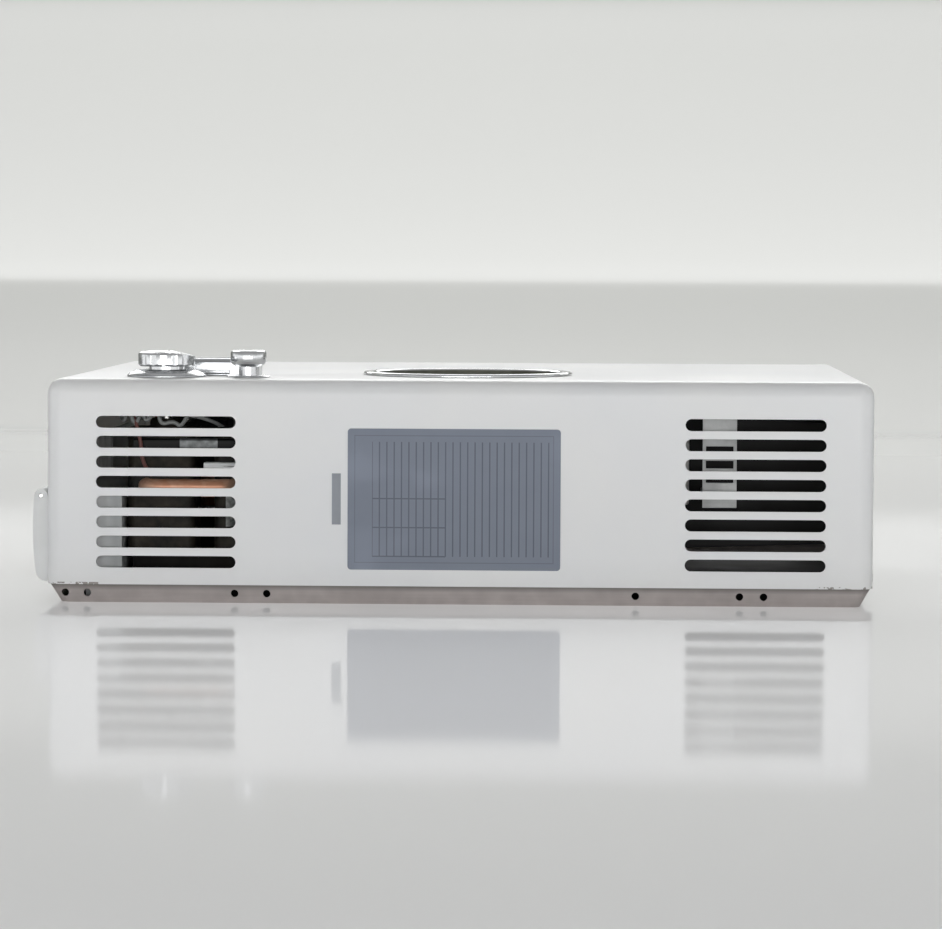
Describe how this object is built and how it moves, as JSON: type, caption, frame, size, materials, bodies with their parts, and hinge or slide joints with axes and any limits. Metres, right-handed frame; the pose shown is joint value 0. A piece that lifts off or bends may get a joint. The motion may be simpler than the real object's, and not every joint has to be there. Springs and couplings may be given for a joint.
{
  "type": "portable gas water heater",
  "caption": "White sheet-steel portable gas water heater with slotted sides, two chrome knobs, a round window and a battery box.",
  "frame": {"origin": "centre of the back pan's underside, on the surface that the heater lies on", "axes": "+Z out of the front face, +X towards the flue (top) end, -Y towards the side with the blank rating plate"},
  "size_m": [0.3922, 0.2903, 0.1133],
  "materials": {
    "white_enamel": "semi-gloss white powder coat",
    "galvanised_steel": "dull zinc-plated sheet",
    "zinc_screw": "zinc-plated",
    "label_foil": "matt silver foil",
    "chrome": "polished",
    "satin_chrome": "satin",
    "smoked_glass": "smoked, polished",
    "seal_rubber": "moulded",
    "white_plastic": "moulded ABS",
    "black_plastic": "moulded",
    "plated_steel": "plated steel",
    "cell_jacket": "shrunk sleeve",
    "brass": "machined",
    "die_casting": "die-cast",
    "copper": "drawn copper",
    "bare_steel": "pressed sheet",
    "ceramic": "glazed"
  },
  "bodies": {
    "casing": {"front_cover": "white_enamel", "back_pan": "galvanised_steel", "cover_screws": "zinc_screw", "rating_plate": "label_foil", "side_sticker": "label_foil", "window_ring": "chrome", "window_gasket": "seal_rubber", "window_glass": "smoked_glass", "gas_knob_skirt": "satin_chrome", "flow_knob_plate": "satin_chrome", "display_bezel": "satin_chrome", "display_lens": "smoked_glass", "battery_box": "white_plastic", "battery_door_pin": "plated_steel", "battery_cells": "cell_jacket", "battery_contacts": "plated_steel", "fitting_plate": "galvanised_steel", "gas_inlet": "brass", "cold_inlet": "brass", "hot_outlet": "brass", "lock_nuts": "brass", "gas_valve_body": "die_casting", "gas_valve_plug": "brass", "poppet_spring": "plated_steel", "water_valve_body": "die_casting", "diaphragm": "seal_rubber", "diaphragm_cover": "die_casting", "valve_bracket": "galvanised_steel", "valve_tie_bar": "plated_steel", "gas_solenoid": "black_plastic", "micro_switch": "black_plastic", "burner_box": "bare_steel", "burner_bars": "bare_steel", "spark_electrode": "ceramic", "flame_sensor": "ceramic", "gas_manifold": "die_casting", "gas_injectors": "brass", "heat_exchanger_shell": "copper", "exchanger_fins": "copper", "overheat_switch": "black_plastic", "heat_shield": "galvanised_steel", "flue_hood": "galvanised_steel", "flue_grille": "plated_steel", "hood_bracket": "galvanised_steel", "igniter_module": "black_plastic", "gas_pipe": "copper", "cold_pipe": "copper", "hot_pipe": "copper", "exchanger_feed_pipe": "copper", "manifold_pipe": "copper", "valve_link_pipe": "copper"},
    "gas_control": {"gas_knob": "chrome", "gas_spindle": "plated_steel"},
    "flow_control": {"flow_knob": "chrome", "flow_spindle": "plated_steel"},
    "door": {"battery_door": "white_plastic"},
    "rod": {"push_rod": "plated_steel"},
    "poppet": {"gas_poppet": "seal_rubber"}
  },
  "joints": [
    {"name": "gas_knob_turn", "type": "hinge", "parent": "casing", "child": "gas_control", "pos_m": [-0.135, -0.113, 0.101], "axis": [0, 0, 1], "range_deg": [-240, 0]},
    {"name": "flow_knob_turn", "type": "hinge", "parent": "casing", "child": "flow_control", "pos_m": [-0.0975, -0.113, 0.101], "axis": [0, 0, 1], "range_deg": [-270, 0]},
    {"name": "battery_door_swing", "type": "hinge", "parent": "casing", "child": "door", "pos_m": [-0.1899, -0.07, 0.0474], "axis": [0, 1, 0], "range_deg": [0, 100]},
    {"name": "push_rod_slide", "type": "slide", "parent": "casing", "child": "rod", "axis": [-1, 0, 0], "range_m": [0, 0.0025]},
    {"name": "gas_poppet_slide", "type": "slide", "parent": "casing", "child": "poppet", "axis": [-1, 0, 0], "range_m": [0, 0.0025], "deforming": ["poppet_spring"]}
  ],
  "couplings": [
    {"joint": "gas_poppet_slide", "follows": "push_rod_slide", "ratio": 1}
  ]
}
